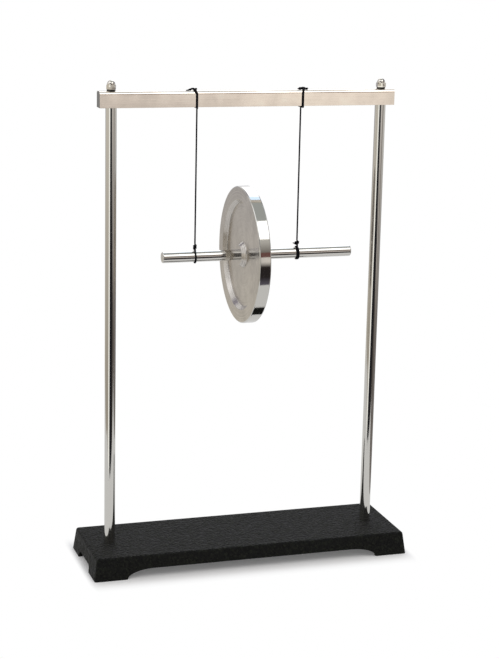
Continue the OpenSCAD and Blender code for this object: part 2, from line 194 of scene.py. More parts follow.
def linked(material, **sockets):
    """The material, with its shader's sockets linked from the nodes that were made for them."""
    tree = material.node_tree
    for socket, source in sockets.items():
        tree.links.new(source, tree.nodes["Principled BSDF"].inputs[socket.replace("_", " ")])
    return material


def per_mm(millimetres):
    """Texture scale of a pattern that repeats at this size."""
    return 1 / (millimetres * MM)


def wrinkle_enamel(finish):
    """Wrinkle enamel on cast iron: black grain that scatters light, thinner and paler on edges."""
    # The grain is drawn coarser than the real one, which is too fine to show in the render
    grain_mm, lump_mm, ridge_mm, edge_wear = 2.2, 4.5, 1.1, 0.35
    material, tree = new_material("wrinkle_enamel", IOR=1.5, Specular_IOR_Level=0.16)
    place = add_node(tree, "ShaderNodeTexCoord")
    bend = add_node(tree, "ShaderNodeTexNoise",
                    {"Vector": place.outputs["Object"], "Scale": per_mm(2 * grain_mm), "Detail": 2})
    sway = add_node(tree, "ShaderNodeVectorMath", {0: bend.outputs["Color"], 1: (grain_mm * MM,) * 3},
                    operation="MULTIPLY")
    bent = add_node(tree, "ShaderNodeVectorMath", {0: place.outputs["Object"], 1: sway.outputs[0]},
                    operation="ADD")
    ridges = add_node(tree, "ShaderNodeTexVoronoi",
                      {"Vector": bent.outputs[0], "Scale": per_mm(grain_mm), "Smoothness": 0.6},
                      feature="SMOOTH_F1")
    lumps = add_node(tree, "ShaderNodeTexNoise",
                     {"Vector": place.outputs["Object"], "Scale": per_mm(lump_mm), "Detail": 4})
    patchy = add_node(tree, "ShaderNodeMapRange",
                      {"Value": lumps.outputs["Fac"], "From Min": 0.35, "From Max": 0.65})
    worn = add_node(tree, "ShaderNodeAttribute", attribute_name="worn")
    height = add_node(tree, "ShaderNodeMapRange",
                      {"Value": ridges.outputs["Distance"], "From Min": 0.1, "From Max": 0.7,
                       "To Min": 1, "To Max": 0})
    thin = add_node(tree, "ShaderNodeMath",
                    {0: patchy.outputs["Result"], 1: height.outputs["Result"]}, operation="MULTIPLY")
    paler = add_node(tree, "ShaderNodeMath", {0: worn.outputs["Fac"], 1: edge_wear, 2: thin.outputs[0]},
                     operation="MULTIPLY_ADD", use_clamp=True)
    mixed = add_node(tree, "ShaderNodeMix", {0: paler.outputs[0], 6: finish.paint, 7: finish.worn_paint},
                     data_type="RGBA")
    rough = add_node(tree, "ShaderNodeMapRange",
                     {"Value": lumps.outputs["Fac"], "From Min": 0.3, "From Max": 0.7,
                      "To Min": 0.54, "To Max": 0.72})
    uneven = add_node(tree, "ShaderNodeMath", {0: lumps.outputs["Fac"], 1: height.outputs["Result"]},
                      operation="ADD")
    bump = add_node(tree, "ShaderNodeBump", {"Height": uneven.outputs[0], "Distance": ridge_mm * MM})
    return linked(material, Base_Color=mixed.outputs[2], Roughness=rough.outputs["Result"],
                  Normal=bump.outputs["Normal"])


def polished_steel(name, base, run):
    """Ground and buffed steel rod: a mirror that faint polishing lines along the rod soften."""
    # Polishing lines are drawn coarser than real ones, which are too fine to show in the render
    line_mm, line_run_mm, smear_mm = 0.5, 60, 25
    material, tree = new_material(name, Base_Color=base, Metallic=1)
    place = add_node(tree, "ShaderNodeTexCoord")
    stretch = [per_mm(line_run_mm) if run[i] else per_mm(line_mm) for i in range(3)]
    drawn = add_node(tree, "ShaderNodeMapping", {"Vector": place.outputs["Object"], "Scale": stretch})
    lines = add_node(tree, "ShaderNodeTexNoise", {"Vector": drawn.outputs[0], "Scale": 1, "Detail": 3})
    smears = add_node(tree, "ShaderNodeTexNoise",
                      {"Vector": place.outputs["Object"], "Scale": per_mm(smear_mm), "Detail": 5})
    rough = add_node(tree, "ShaderNodeMapRange",
                     {"Value": smears.outputs["Fac"], "From Min": 0.35, "From Max": 0.7,
                      "To Min": 0.05, "To Max": 0.11})
    bump = add_node(tree, "ShaderNodeBump",
                    {"Height": lines.outputs["Fac"], "Strength": 0.12, "Distance": 0.02 * MM})
    return linked(material, Roughness=rough.outputs["Result"], Normal=bump.outputs["Normal"])


def brushed_steel(finish):
    """Flat bar linished along its length: streaks that blur reflections up and down, with a warm tone."""
    # The belt's streaks are drawn coarser than real ones, which are too fine to show in the render
    streak_mm, streak_run_mm, patch_mm = 0.9, 45, 18
    material, tree = new_material("brushed_steel", Metallic=1, Anisotropic=0.3)
    place = add_node(tree, "ShaderNodeTexCoord")
    drawn = add_node(tree, "ShaderNodeMapping",
                     {"Vector": place.outputs["Object"],
                      "Scale": (per_mm(streak_run_mm), per_mm(streak_mm), per_mm(streak_mm))})
    streaks = add_node(tree, "ShaderNodeTexNoise",
                       {"Vector": drawn.outputs[0], "Scale": 1, "Detail": 4, "Roughness": 0.65})
    patches = add_node(tree, "ShaderNodeTexNoise",
                       {"Vector": place.outputs["Object"], "Scale": per_mm(patch_mm), "Detail": 2})
    tone = add_node(tree, "ShaderNodeMath", {0: streaks.outputs["Fac"], 1: patches.outputs["Fac"]},
                    operation="ADD")
    shade = add_node(tree, "ShaderNodeMapRange",
                     {"Value": tone.outputs[0], "From Min": 0.8, "From Max": 1.2,
                      "To Min": 0.84, "To Max": 1.08})
    mixed = add_node(tree, "ShaderNodeVectorMath", {0: finish.bar[:3], "Scale": shade.outputs["Result"]},
                     operation="SCALE")
    rough = add_node(tree, "ShaderNodeMapRange",
                     {"Value": streaks.outputs["Fac"], "From Min": 0.3, "From Max": 0.7,
                      "To Min": 0.09, "To Max": 0.16})
    bump = add_node(tree, "ShaderNodeBump",
                    {"Height": streaks.outputs["Fac"], "Strength": 0.25, "Distance": 0.03 * MM})
    across = add_node(tree, "ShaderNodeCombineXYZ", {"Y": 1, "Z": 1})
    return linked(material, Base_Color=mixed.outputs[0], Roughness=rough.outputs["Result"],
                  Normal=bump.outputs["Normal"], Tangent=across.outputs[0])


def sawn_steel_and_edge_shade(finish):
    """Bar end as sawn and filed: dull, with short upright scratches; also painted shade on the lower edge
    breaks.
    """
    # The file's scratches are drawn coarser than real ones, which are too fine to show in the render
    scratch_mm, scratch_run_mm = 0.6, 4.8
    material, tree = new_material("sawn_steel_and_edge_shade", Base_Color=finish.bar_end_and_edge_shade, Metallic=1)
    place = add_node(tree, "ShaderNodeTexCoord")
    drawn = add_node(tree, "ShaderNodeMapping",
                     {"Vector": place.outputs["Object"],
                      "Scale": (1, per_mm(scratch_mm), per_mm(scratch_run_mm))})
    scratches = add_node(tree, "ShaderNodeTexNoise", {"Vector": drawn.outputs[0], "Scale": 1, "Detail": 3})
    rough = add_node(tree, "ShaderNodeMapRange",
                     {"Value": scratches.outputs["Fac"], "From Min": 0.3, "From Max": 0.7,
                      "To Min": 0.35, "To Max": 0.55})
    bump = add_node(tree, "ShaderNodeBump",
                    {"Height": scratches.outputs["Fac"], "Strength": 0.4, "Distance": 0.05 * MM})
    return linked(material, Roughness=rough.outputs["Result"], Normal=bump.outputs["Normal"])


def turned_steel(finish, centre):
    """Lathe-turned steel: fine rings round the axle that blur reflections outwards from the hub."""
    # The tool's rings are drawn coarser than real ones, which are too fine to show in the render
    ring_mm, stain_mm, wall_rough = 0.8, 14, 0.2
    material, tree = new_material("turned_steel", Metallic=1, Anisotropic=0.35)
    place = add_node(tree, "ShaderNodeTexCoord")
    centred = add_node(tree, "ShaderNodeMapping",
                       {"Vector": place.outputs["Object"], "Location": -centre})
    outward = add_node(tree, "ShaderNodeVectorMath", {0: centred.outputs[0], 1: (0, 1, 1)},
                       operation="MULTIPLY")
    radius = add_node(tree, "ShaderNodeVectorMath", {0: outward.outputs[0]}, operation="LENGTH")
    rings = add_node(tree, "ShaderNodeTexNoise",
                     {"W": radius.outputs["Value"], "Scale": per_mm(ring_mm), "Detail": 3},
                     noise_dimensions="1D")
    stains = add_node(tree, "ShaderNodeTexNoise",
                      {"Vector": place.outputs["Object"], "Scale": per_mm(stain_mm), "Detail": 5})
    tone = add_node(tree, "ShaderNodeMath", {0: rings.outputs["Fac"], 1: stains.outputs["Fac"]},
                    operation="ADD")
    shade = add_node(tree, "ShaderNodeMapRange",
                     {"Value": tone.outputs[0], "From Min": 0.8, "From Max": 1.2,
                      "To Min": 0.82, "To Max": 1.12})
    mixed = add_node(tree, "ShaderNodeVectorMath", {0: finish.wheel[:3], "Scale": shade.outputs["Result"]},
                     operation="SCALE")
    rough = add_node(tree, "ShaderNodeMapRange",
                     {"Value": stains.outputs["Fac"], "From Min": 0.3, "From Max": 0.7,
                      "To Min": 0.18, "To Max": 0.23})
    bump = add_node(tree, "ShaderNodeBump",
                    {"Height": rings.outputs["Fac"], "Strength": 0.2, "Distance": 0.03 * MM})
    wall = add_node(tree, "ShaderNodeAttribute", attribute_name="wall")
    rougher = add_node(tree, "ShaderNodeMath",
                       {0: wall.outputs["Fac"], 1: wall_rough, 2: rough.outputs["Result"]},
                       operation="MULTIPLY_ADD")
    return linked(material, Base_Color=mixed.outputs[0], Roughness=rougher.outputs[0],
                  Normal=bump.outputs["Normal"], Tangent=outward.outputs[0])


def plated_steel(name, base, smooth, dull, spot_mm):
    """Plated or oiled fastener: bright metal clouded by handling marks."""
    material, tree = new_material(name, Base_Color=base, Metallic=1)
    place = add_node(tree, "ShaderNodeTexCoord")
    marks = add_node(tree, "ShaderNodeTexNoise",
                     {"Vector": place.outputs["Object"], "Scale": per_mm(spot_mm), "Detail": 5})
    rough = add_node(tree, "ShaderNodeMapRange",
                     {"Value": marks.outputs["Fac"], "From Min": 0.35, "From Max": 0.65,
                      "To Min": smooth, "To Max": dull})
    bump = add_node(tree, "ShaderNodeBump",
                    {"Height": marks.outputs["Fac"], "Strength": 0.15, "Distance": 0.04 * MM})
    return linked(material, Roughness=rough.outputs["Result"], Normal=bump.outputs["Normal"])


def cotton_thread(finish):
    """Twisted black cotton: matt strands, their grooves darker as painted shade, with a soft sheen of fibre
    ends.
    """
    # Fibres are drawn coarser than real ones, which are too fine to show in the render
    fibre_mm = 0.25
    material, tree = new_material("cotton_thread", Roughness=0.8, Sheen_Weight=0.02,
                                  Sheen_Roughness=0.5, Specular_IOR_Level=0.1)
    place = add_node(tree, "ShaderNodeTexCoord")
    fibres = add_node(tree, "ShaderNodeTexNoise",
                      {"Vector": place.outputs["Object"], "Scale": per_mm(fibre_mm), "Detail": 3})
    outside = add_node(tree, "ShaderNodeAttribute", attribute_name="outside")
    # Paler on the strands' crests and darker in the grooves, broken by fibres: painted shade between the
    # strands
    strand_shading = add_node(tree, "ShaderNodeMath", {0: outside.outputs["Fac"], 1: fibres.outputs["Fac"]},
                      operation="MULTIPLY")
    mixed = add_node(tree, "ShaderNodeMix", {0: strand_shading.outputs[0], 6: finish.thread, 7: finish.thread_crest_light},
                     data_type="RGBA")
    bump = add_node(tree, "ShaderNodeBump",
                    {"Height": fibres.outputs["Fac"], "Strength": 0.5, "Distance": 0.05 * MM})
    return linked(material, Base_Color=mixed.outputs[2], Normal=bump.outputs["Normal"])


# Meshes

SMOOTH_ANGLE = math.radians(32)
TURN_STEPS = 144


def placed(name, data):
    """A new object in the scene."""
    made = bpy.data.objects.new(name, data)
    bpy.context.scene.collection.objects.link(made)
    return made


def to_object(bm, name, *materials):
    """An object in the scene from a finished bmesh."""
    mesh = bpy.data.meshes.new(name)
    bm.to_mesh(mesh)
    bm.free()
    for material in materials:
        mesh.materials.append(material)
    return placed(name, mesh)


def to_piece(bm, name, body, nodes, slot, *materials):
    """Makes a finished bmesh a piece that rides on its body in place of its CAD nodes."""
    piece = to_object(bm, name, *materials)
    piece.data.shade_smooth()
    piece.data.set_sharp_from_angle(angle=SMOOTH_ANGLE)
    # Long faces keep their own direction beside small rounded edges, so mirrors stay true
    flat = piece.modifiers.new("flat_faces", "WEIGHTED_NORMAL")
    flat.keep_sharp = True
    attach(piece, body)
    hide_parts(*nodes)
    return piece


def merged_copy(node, weld):
    """The CAD node's triangles as one closed surface of flat faces."""
    bm = bmesh.new()
    bm.from_mesh(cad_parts[node].data)
    bmesh.ops.remove_doubles(bm, verts=bm.verts, dist=weld)
    bmesh.ops.dissolve_degenerate(bm, edges=bm.edges, dist=weld / 10)
    bmesh.ops.dissolve_limit(bm, angle_limit=math.radians(1), verts=bm.verts, edges=bm.edges)
    return bm


def break_edges(bm, width, segments=2):
    """Rounds every sharp edge and returns the new faces."""
    sharp = [edge for edge in bm.edges if edge.is_manifold and edge.calc_face_angle() > SMOOTH_ANGLE]
    made = bmesh.ops.bevel(bm, geom=sharp, offset=width, offset_type="OFFSET", segments=segments,
                           profile=0.5, affect="EDGES", material=-1, clamp_overlap=True)
    return made["faces"]


def turned(profile, centre, axis):
    """A closed bmesh turned about an axis from (radius, along) points."""
    bm = bmesh.new()
    outward = X if axis == Z else Z
    verts = [bm.verts.new(centre + along * axis + radius * outward) for radius, along in profile]
    edges = [bm.edges.new(pair) for pair in zip(verts, verts[1:])]
    bmesh.ops.spin(bm, geom=verts + edges, cent=centre, axis=axis, angle=2 * math.pi, steps=TURN_STEPS,
                   use_merge=True)
    bmesh.ops.remove_doubles(bm, verts=bm.verts, dist=0.001 * MM)
    bmesh.ops.recalc_face_normals(bm, faces=bm.faces)
    return bm


def quarter(radius, along, r, start, steps=6):
    """Points of a quarter circle on a turned profile, about (radius, along), from an angle in degrees."""
    turns = [math.radians(start + 90 * i / steps) for i in range(steps + 1)]
    return [(radius + r * math.cos(a), along + r * math.sin(a)) for a in turns]


# Routes of the threads

def smooth_route(points, steps):
    """A curve through the points, with steps pieces between each pair."""
    route = []
    for i in range(len(points) - 1):
        a, b, c, d = (Vector(points[min(max(i + k, 0), len(points) - 1)]) for k in (-1, 0, 1, 2))
        for s in range(steps):
            f = s / steps
            route.append(0.5 * (2 * b + (c - a) * f + (2 * a - 5 * b + 4 * c - d) * f ** 2
                                + (3 * b - a - 3 * c + d) * f ** 3))
    return route + [Vector(points[-1])]


def arc(y, z, r, start, end, steps):
    """Points of an arc in the plane square to the crossbar, with angles in degrees."""
    angles = [math.radians(start + (end - start) * i / steps) for i in range(steps + 1)]
    return [(0, y + r * math.cos(a), z + r * math.sin(a)) for a in angles]


def bar_tie_route(side, thread, bar_round):
    """One turn round the crossbar, with both ends knotted over each other near the front of its top."""
    low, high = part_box("crossbar")
    slant, lean, left_tail, drop = {
        "left": (thread.left_slant, thread.left_lean, thread.left_tail, 0.4),
        "right": (thread.right_slant, thread.right_lean, thread.right_tail, 0)}[side]
    d, lay, right_tail = thread.slack_diameter, 1.15 * thread.diameter, thread.short_tail
    seat, half, bar_h = d / 2, (high.y - low.y) / 2, high.z - low.z
    flat, top = half - bar_round, bar_h + seat
    corner, corner_z, crossing = bar_round + seat, bar_h - bar_round, top + 0.25 * d
    if side == "right":
        points = [(right_tail, -1.7 * lay, top + 0.4 * d)]
        under = [(lean + 2.0 * lay, -1.7 * lay, top), (lean + 1.1 * lay, -1.45 * lay, top),
                 (lean + 0.5 * lay, -0.7 * lay, top), (0.3 * lean + 0.1 * lay, 0.6 * lay, top),
                 (0, flat, top)]
    else:
        points = [(lean + 0.45 * lay, -0.7 * lay, top), (0.8 * lean + 0.3 * lay, 0, top)]
        under = [(0.6 * lean + 0.2 * lay, 0.4 * lay, top), (0.2 * lean + 0.05 * lay, 1.2 * lay, top),
                 (0, flat, top)]
    over = [(0.55 * lean, -flat - 0.1 * lay, top), (0.9 * lean + 0.2 * lay, -1.3 * lay, crossing),
            (lean + 0.5 * lay, -0.65 * lay, crossing), (lean + 0.3 * lay, 0.2 * lay, crossing),
            (lean - 0.5 * lay, 0.35 * lay, top + 0.2 * d), (lean - 1.2 * lay, -0.25 * lay, top),
            (lean - 1.8 * lay, -1.2 * lay, top)]
    points += smooth_route(under, 3)
    points += arc(flat, corner_z, corner, 80, 0, 4)
    points += arc(half, 0, seat, 0, -90, 3) + [(0, 0, -seat)] + arc(-half, 0, seat, -90, -180, 3)
    rising = arc(-flat, corner_z, corner, 180, 130, 3)
    points += [(0.12 * lean * i, y, z) for i, (_, y, z) in enumerate(rising)]
    points += smooth_route(over, 3)
    points += [(d - left_tail, -0.9 * flat, top - 0.7 * drop * d), (-left_tail, -flat, top - drop * d)]
    hung = Vector((thread_x(side), 0, low.z))
    return [hung + Vector(p) + slant * max(0, -p[1] / half) * X for p in points]


def axle_tie_route(side, thread):
    """Turns round the axle under a knot of small coils, which the hanging thread runs into."""
    low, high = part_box("axle")
    knot_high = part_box(side + "_axle_tie")[1]
    d, centre_z = 0.85 * thread.diameter, (low.z + high.z) / 2
    loop_r = (high.z - low.z) / 2 + thread.diameter / 2
    turns, coils, coil_r, neck, free_angle = {"left": (1, 3, 0.8 * d, 0.8 * d, 15),
                                              "right": (2, 2, 1.15 * d, 1.7 * d, 45)}[side]
    coil_low = loop_r + neck
    coil_high = coil_low + d * coils
    top = knot_high.z - centre_z
    points = [(0, 0, top), (0, 0, coil_high + 1.2 * d), (0, -0.6 * coil_r, coil_high + 0.5 * d)]
    for i in range(12 * coils + 1):
        a = math.radians(30 * i - 90)
        points.append((coil_r * math.cos(a), coil_r * math.sin(a), coil_high - d * i / 12))
    for angle in range(45, 360 * turns - free_angle + 1, 15):
        a = math.radians(angle)
        points.append((1.05 * d * (angle / 360 - turns / 2), -loop_r * math.sin(a), loop_r * math.cos(a)))
    if side == "left":
        points += [(0.25 * d, 0.7 * d, loop_r + 0.1 * d), (0.2 * d, 0.5 * d, loop_r + d)]
    else:
        points += smooth_route([(0.9 * d, 1.5 * d, loop_r + 0.3 * d), (0.6 * d, 2.4 * d, loop_r + 1.2 * d),
                                (-0.8 * d, 2.6 * d, loop_r + 1.8 * d),
                                (-2.3 * d, 2.4 * d, loop_r + 2.3 * d)], 3)
    x = thread_x(side)
    return [Vector((x, 0, centre_z)) + Vector(p) for p in points]


def thread_x(side):
    """Where a thread hangs along the crossbar."""
    low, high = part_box(side + "_thread")
    return (low.x + high.x) / 2


def even_steps(route, step):
    """The route again, with points about one step apart, and its length up to each."""
    along = [0.0]
    for a, b in zip(route, route[1:]):
        along.append(along[-1] + (b - a).length)
    count = max(2, round(along[-1] / step))
    points, places, k = [], [], 0
    for i in range(count + 1):
        place = along[-1] * i / count
        while k < len(route) - 2 and along[k + 1] < place:
            k += 1
        share = (place - along[k]) / max(along[k + 1] - along[k], 1e-9)
        points.append(route[k].lerp(route[k + 1], min(share, 1)))
        places.append(place)
    return points, places


def twisted_thread(route, thread, diameter, frayed=(0, 0)):
    """Strands twisted along a route: a lobed ring carried along and turned, thin at frayed ends."""
    ring, step, groove = 15, 0.22 * MM, 0.06
    radius = diameter / 2
    points, places = even_steps(smooth_route(route, 6), step)
    bm = bmesh.new()
    outside = bm.verts.layers.float.new("outside")
    rings, normal = [], None
    for i, point in enumerate(points):
        run = (points[min(i + 1, len(points) - 1)] - points[max(i - 1, 0)]).normalized()
        if normal is None:
            normal = run.orthogonal()
        normal = (normal - normal.dot(run) * run).normalized()
        across = run.cross(normal)
        ends = [gap / fray for gap, fray in zip((places[i], places[-1] - places[i]), frayed) if fray]
        slim = min([1] + [0.5 + 0.5 * end for end in ends])
        verts = []
        for k in range(ring):
            a = 2 * math.pi * k / ring
            lobe = 0.5 + 0.5 * math.cos(thread.strands * (a - 2 * math.pi * places[i] / thread.twist))
            r = slim * radius * (1 - groove * (1 - lobe))
            vert = bm.verts.new(point + r * (math.cos(a) * normal + math.sin(a) * across))
            # 1 on a strand's crest and 0 in a groove, where the thread's material paints shade
            vert[outside] = lobe
            verts.append(vert)
        rings.append(verts)
    for first, second in zip(rings, rings[1:]):
        for k in range(ring):
            bm.faces.new((first[k], first[(k + 1) % ring], second[(k + 1) % ring], second[k]))
    bm.faces.new(reversed(rings[0]))
    bm.faces.new(rings[-1])
    return bm, points


# Stage

BOARD_STEPS = 24
# What polished metal mirrors round the stand. Each row has angles in degrees from the front towards
# the right, the heights of its foot and head in metres, and a colour. A board with two colours has
# the heights between which the first fades into the second.
BOARDS = (
    ("left_back", (-190, -140), (-0.9, 0.7), (0.70, 0.66, 0.57), (-0.35, 0.2), (0.51, 0.50, 0.52)),
    ("left_wall", (-140, -54), (-0.9, 0.7), (0.46, 0.42, 0.36), (-0.35, 0.2), (0.74, 0.70, 0.63)),
    ("left_high", (-158, -141), (1.0, 3.6), (0.20, 0.18, 0.26)),
    ("left_light", (-115, -35), (2.0, 4.5), (1.7, 1.72, 1.8)),
    ("bright_front", (-54, -32), (-0.9, 1.0), (1.3, 1.3, 1.25)),
    ("dark_high", (-58, -6), (0.8, 1.9), (0.04, 0.035, 0.045)),
    ("dark_front", (-32, 7), (-1.0, 0.8), (0.02, 0.02, 0.025), (0.1, 0.7), (0.3, 0.3, 0.3)),
    ("right_wall", (7, 17), (-0.6, 0.6), (0.03, 0.025, 0.025), (-0.06, 0.22), (0.75, 0.71, 0.68)),
    ("right_lit", (17, 27), (-0.6, 0.6), (0.03, 0.025, 0.025), (-0.06, 0.22), (0.90, 0.85, 0.80)),
    ("right_pale", (27, 42), (-0.6, 0.6), (0.12, 0.11, 0.10), (-0.19, -0.09), (0.62, 0.59, 0.56)),
    ("right_low", (7, 62), (-1.7, -0.6), (0.12, 0.11, 0.14), (-1.2, -0.7), (0.03, 0.025, 0.025)),
    ("right_dim", (42, 62), (-0.6, 0.6), (0.14, 0.12, 0.11), (-0.28, -0.18), (0.30, 0.27, 0.25)),
    ("right_panel", (7, 62), (0.6, 1.8), (0.25, 0.23, 0.21), (0.75, 1.35), (0.62, 0.60, 0.56)),
    ("far_wall", (62, 140), (-1.0, 0.6), (0.22, 0.20, 0.19), (-0.2, 0.2), (0.72, 0.70, 0.68)),
    ("right_high", (55, 90), (0.6, 2.2), (0.18, 0.17, 0.22)),
    ("back_dark", (95, 141), (0.75, 2.6), (0.18, 0.17, 0.22)),
    ("back_light", (141, 170), (0.75, 3.0), (1.9, 1.9, 1.95)),
    ("back_panel", (95, 170), (3.0, 6.5), (1.2, 1.5, 1.9)),
    ("back_wall", (140, 170), (-1.0, 0.45), (0.30, 0.30, 0.36)),
)


def board(name, bm, colour_below, fade=(0, 1), colour_above=None):
    """A board that only shows in polished metal, of one colour or fading to another between two heights."""
    material, tree = new_material(name + "_board")
    material.cycles.emission_sampling = "NONE"
    place = add_node(tree, "ShaderNodeTexCoord")
    split = add_node(tree, "ShaderNodeSeparateXYZ", {0: place.outputs["Object"]})
    share = add_node(tree, "ShaderNodeMapRange",
                     {"Value": split.outputs["Z"], "From Min": fade[0], "From Max": fade[1]})
    mixed = add_node(tree, "ShaderNodeMix",
                     {0: share.outputs["Result"], 6: (*colour_below, 1),
                      7: (*(colour_above or colour_below), 1)}, data_type="RGBA")
    shine = add_node(tree, "ShaderNodeEmission", {"Color": mixed.outputs[2]})
    tree.links.new(shine.outputs[0], tree.nodes["Material Output"].inputs["Surface"])
    card = to_object(bm, name, material)
    card.visible_camera = card.visible_diffuse = card.visible_shadow = card.visible_transmission = False


def wall_board(radius, name, angles, heights, *shading):
    """A curved board round the stand, between two angles and two heights."""
    bm = bmesh.new()
    start, end = (math.radians(angle) for angle in angles)
    first = Vector((math.sin(start), -math.cos(start), 0)) * radius
    verts = [bm.verts.new(first + height * Z) for height in heights]
    bmesh.ops.spin(bm, geom=verts + [bm.edges.new(verts)], cent=(0, 0, 0), axis=Z, angle=end - start,
                   steps=BOARD_STEPS)
    board(name, bm, *shading)


def ceiling_board(name, centre, size, shade):
    """A flat board overhead."""
    bm = bmesh.new()
    bmesh.ops.create_grid(bm, x_segments=1, y_segments=1, size=size / 2, matrix=Matrix.Translation(centre))
    board(name, bm, shade)


def softbox(name, centre, target, width, height, radiance, tint="#FFFFFF", mirrored=True):
    """A soft rectangular lamp whose face has an even radiance."""
    light = bpy.data.lights.new(name, "AREA")
    light.shape, light.size, light.size_y = "RECTANGLE", width, height
    light.energy = radiance * math.pi * width * height
    light.color = linear(tint)[:3]
    lamp = placed(name, light)
    lamp.visible_glossy = mirrored
    lamp.location = centre
    lamp.rotation_mode = "QUATERNION"
    lamp.rotation_quaternion = (Vector(target) - Vector(centre)).to_track_quat("-Z", "Y")


def shown_rays(tree):
    """A socket that is 1 for what the camera sees, straight on or in metal or glass."""
    rays = add_node(tree, "ShaderNodeLightPath")
    straight = add_node(tree, "ShaderNodeMath",
                        {0: rays.outputs["Is Camera Ray"], 1: rays.outputs["Is Glossy Ray"]},
                        operation="MAXIMUM")
    seen = add_node(tree, "ShaderNodeMath",
                    {0: straight.outputs[0], 1: rays.outputs["Is Transmission Ray"]}, operation="MAXIMUM")
    return seen.outputs[0]


def white_room(stage):
    """Even light from all round, in front of a white background."""
    world = bpy.data.worlds.new("white_room")
    bpy.context.scene.world = world
    world.use_nodes = True
    tree = world.node_tree
    even = add_node(tree, "ShaderNodeBackground", {"Color": linear("#FBFCFF"), "Strength": stage.fill})
    white = add_node(tree, "ShaderNodeBackground", {"Color": (1, 1, 1, 1)})
    mixed = add_node(tree, "ShaderNodeMixShader",
                     {0: shown_rays(tree), 1: even.outputs[0], 2: white.outputs[0]})
    tree.links.new(mixed.outputs[0], tree.nodes["World Output"].inputs["Surface"])


def paper_floor(stage):
    """White paper that keeps the stand's shadow, all white further out and clear from below."""
    # Its brightness in mirrors, and how much sooner the shadow ends beside the base than in front
    in_mirrors, sooner = 0.8, 4
    material, tree = new_material("white_paper", Base_Color=stage.floor, Roughness=0.9,
                                  Specular_IOR_Level=0)
    shown = shown_rays(tree)
    glow = add_node(tree, "ShaderNodeMath", {0: shown, 1: stage.floor_glow}, operation="MULTIPLY")
    shine = add_node(tree, "ShaderNodeEmission", {"Strength": glow.outputs[0]})
    near = add_node(tree, "ShaderNodeAddShader",
                    {0: tree.nodes["Principled BSDF"].outputs[0], 1: shine.outputs[0]})
    place = add_node(tree, "ShaderNodeTexCoord")
    one_corner = add_node(tree, "ShaderNodeVectorMath", {0: place.outputs["Object"]}, operation="ABSOLUTE")
    beyond = add_node(tree, "ShaderNodeVectorMath", {0: one_corner.outputs[0], 1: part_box("base")[1]},
                      operation="SUBTRACT")
    outside = add_node(tree, "ShaderNodeVectorMath", {0: beyond.outputs[0], 1: (0, 0, 0)},
                       operation="MAXIMUM")
    narrower = add_node(tree, "ShaderNodeVectorMath", {0: outside.outputs[0], 1: (sooner, 1, 1)},
                        operation="MULTIPLY")
    reach = add_node(tree, "ShaderNodeVectorMath", {0: narrower.outputs[0]}, operation="LENGTH")
    far = add_node(tree, "ShaderNodeMapRange",
                   {"Value": reach.outputs["Value"], "From Max": stage.shadow_reach},
                   interpolation_type="SMOOTHSTEP")
    open_floor = add_node(tree, "ShaderNodeMath", {0: shown, 1: far.outputs["Result"]},
                          operation="MULTIPLY")
    rays = add_node(tree, "ShaderNodeLightPath")
    bright = add_node(tree, "ShaderNodeMath",
                      {0: rays.outputs["Is Camera Ray"], 1: 1 - in_mirrors, 2: in_mirrors},
                      operation="MULTIPLY_ADD")
    white = add_node(tree, "ShaderNodeEmission", {"Strength": bright.outputs[0]})
    both = add_node(tree, "ShaderNodeMixShader",
                    {0: open_floor.outputs[0], 1: near.outputs[0], 2: white.outputs[0]})
    side = add_node(tree, "ShaderNodeNewGeometry")
    clear = add_node(tree, "ShaderNodeBsdfTransparent")
    one_sided = add_node(tree, "ShaderNodeMixShader",
                         {0: side.outputs["Backfacing"], 1: both.outputs[0], 2: clear.outputs[0]})
    tree.links.new(one_sided.outputs[0], tree.nodes["Material Output"].inputs["Surface"])
    bm = bmesh.new()
    left, right, back = -stage.floor_left, stage.floor_right, stage.floor_back
    front = [(x, -stage.floor_front - x * math.tan(stage.floor_turn))
             for x in (left, right + stage.floor_corner)]
    bm.faces.new([bm.verts.new((x, y, 0)) for x, y in front + [(right, 0), (right, back), (left, back)]])
    to_object(bm, "floor", material)


def aim_camera(stage):
    """A camera on the stage's angles, with its lean."""
    a, e, r = stage.azimuth, stage.elevation, stage.roll
    back = Vector((math.sin(a) * math.cos(e), -math.cos(a) * math.cos(e), math.sin(e)))
    level = Vector((math.cos(a), math.sin(a), 0))
    upright = back.cross(level)
    right = math.cos(r) * level + math.sin(r) * upright
    matrix = Matrix((right, back.cross(right), back)).transposed().to_4x4()
    matrix.translation = Vector(stage.aim) + back * stage.distance
    data = bpy.data.cameras.new("camera")
    data.sensor_width, data.lens = 36, stage.lens
    camera = placed("camera", data)
    camera.matrix_world = matrix
    bpy.context.scene.camera = camera


class MAXWELL_OT_stage(bpy.types.Operator):
    """Set up the camera, the paper floor and the studio light"""

    bl_idname = "maxwell.stage"
    bl_label = "Stage"

    def execute(self, context):
        stage = context.scene.maxwell_stage
        context.scene.view_settings.view_transform = "Standard"
        aim_camera(stage)
        white_room(stage)
        paper_floor(stage)
        softbox("back_softbox", centre=(0.35, 1.25, 1.0), target=(0, 0, 0.25), width=1.6, height=1.4,
                radiance=1.4, tint="#E6EFFF", mirrored=False)
        softbox("front_softbox", centre=(0.5, -0.95, 1.45), target=(0, 0, 0.28), width=0.8, height=0.8,
                radiance=1.6)
        for row in BOARDS:
            wall_board(stage.room, *row)
        # A strip in front of the boards on the right
        wall_board(0.98 * stage.room, "red_strip", (0, 40), (0.46, 0.72), (0.20, 0.10, 0.09))
        ceiling_board("ceiling", Vector((0.3, -0.05, 2.3)), 1.8, (0.49, 0.51, 0.50))
        return {"FINISHED"}


